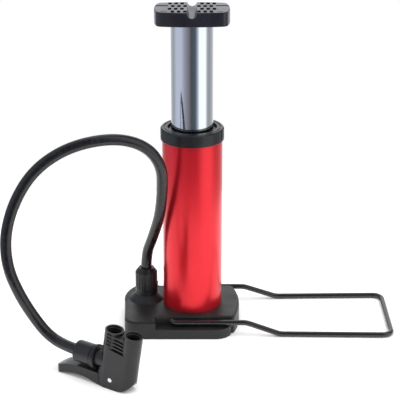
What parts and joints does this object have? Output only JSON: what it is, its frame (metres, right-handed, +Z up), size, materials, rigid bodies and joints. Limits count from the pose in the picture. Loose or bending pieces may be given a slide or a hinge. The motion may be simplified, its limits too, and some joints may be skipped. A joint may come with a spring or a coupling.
{
  "type": "foot-operated mini pump",
  "caption": "Small foot-operated tyre pump: pedal on a chrome plunger, red barrel, folding wire foot frame, short hose and twin-port lever head.",
  "frame": {"origin": "on the barrel axis, in the plane of the sole", "axes": "+Z up along the barrel; +X the way the foot frame unfolds; the hose boss is on the -X side and the hose lies towards -Y"},
  "size_m": [0.2445, 0.1419, 0.2077],
  "materials": {
    "base_plastic": "fine moulded grain, charcoal black",
    "black_plastic": "satin moulded black",
    "pedal_plastic": "semi-gloss moulded black",
    "red_barrel": "satin red anodised tube",
    "chrome_tube": "polished chrome plating",
    "wire_paint": "gloss black coated wire",
    "hose_rubber": "semi-gloss black hose",
    "seal_rubber": "black seal",
    "nylon": "natural nylon",
    "steel": "bright steel",
    "spring_steel": "drawn spring wire",
    "brass": "turned brass"
  },
  "bodies": {
    "base": {"base_body": "base_plastic", "bottom_cover": "base_plastic", "channel_gasket": "seal_rubber", "cover_screws": "steel", "barrel": "red_barrel", "top_collar": "black_plastic", "guide_bush": "black_plastic", "wiper_ring": "seal_rubber", "piston_rod": "steel", "rod_nut": "steel", "rod_seal": "seal_rubber", "piston_head": "nylon", "piston_seal": "seal_rubber", "return_spring": "spring_steel", "valve_seat": "seal_rubber", "valve_spring": "spring_steel", "hose_barb": "brass", "hose_nut": "black_plastic", "head_body": "black_plastic", "presta_grommet": "seal_rubber", "presta_port_ring": "black_plastic", "schrader_grommet": "seal_rubber", "schrader_port_ring": "black_plastic", "head_collar": "black_plastic", "collar_ring": "seal_rubber", "head_barb": "brass", "lever_pin": "steel", "hose": "hose_rubber"},
    "plunger": {"pump_cylinder": "chrome_tube", "tube_guide_ring": "nylon", "cylinder_plug": "nylon", "plug_seal": "seal_rubber", "pedal_screws": "steel", "pedal": "pedal_plastic"},
    "foot_frame": {"foot_frame": "wire_paint"},
    "clamp_lever": {"lever": "black_plastic"},
    "pusher": {"pusher_yoke": "nylon"},
    "check_ball": {"check_ball": "steel"}
  },
  "joints": [
    {"name": "plunger_slide", "type": "slide", "parent": "base", "child": "plunger", "axis": [0, 0, 1], "range_m": [-0.065, 0], "stiffness_N_per_m": 600, "springref_m": 0.02, "deforming": ["return_spring"]},
    {"name": "foot_frame_fold", "type": "hinge", "parent": "base", "child": "foot_frame", "pos_m": [-0.0134, 0, 0.0093], "axis": [0, -1, 0], "range_deg": [0, 80]},
    {"name": "lever_turn", "type": "hinge", "parent": "base", "child": "clamp_lever", "pos_m": [-0.04561, -0.09503, 0.0062], "axis": [-0.5592, -0.829, 0], "range_deg": [0, 90]},
    {"name": "pusher_lift", "type": "slide", "parent": "base", "child": "pusher", "axis": [0.1368, -0.0923, 0.9863], "range_m": [0, 0.00151]},
    {"name": "check_ball_lift", "type": "slide", "parent": "base", "child": "check_ball", "axis": [0, 0, 1], "range_m": [0, 0.0012], "stiffness_N_per_m": 15, "springref_m": -0.002, "deforming": ["valve_spring"]}
  ],
  "couplings": [
    {"joint": "pusher_lift", "follows": "lever_turn", "m_per_rad": 0.00095}
  ]
}
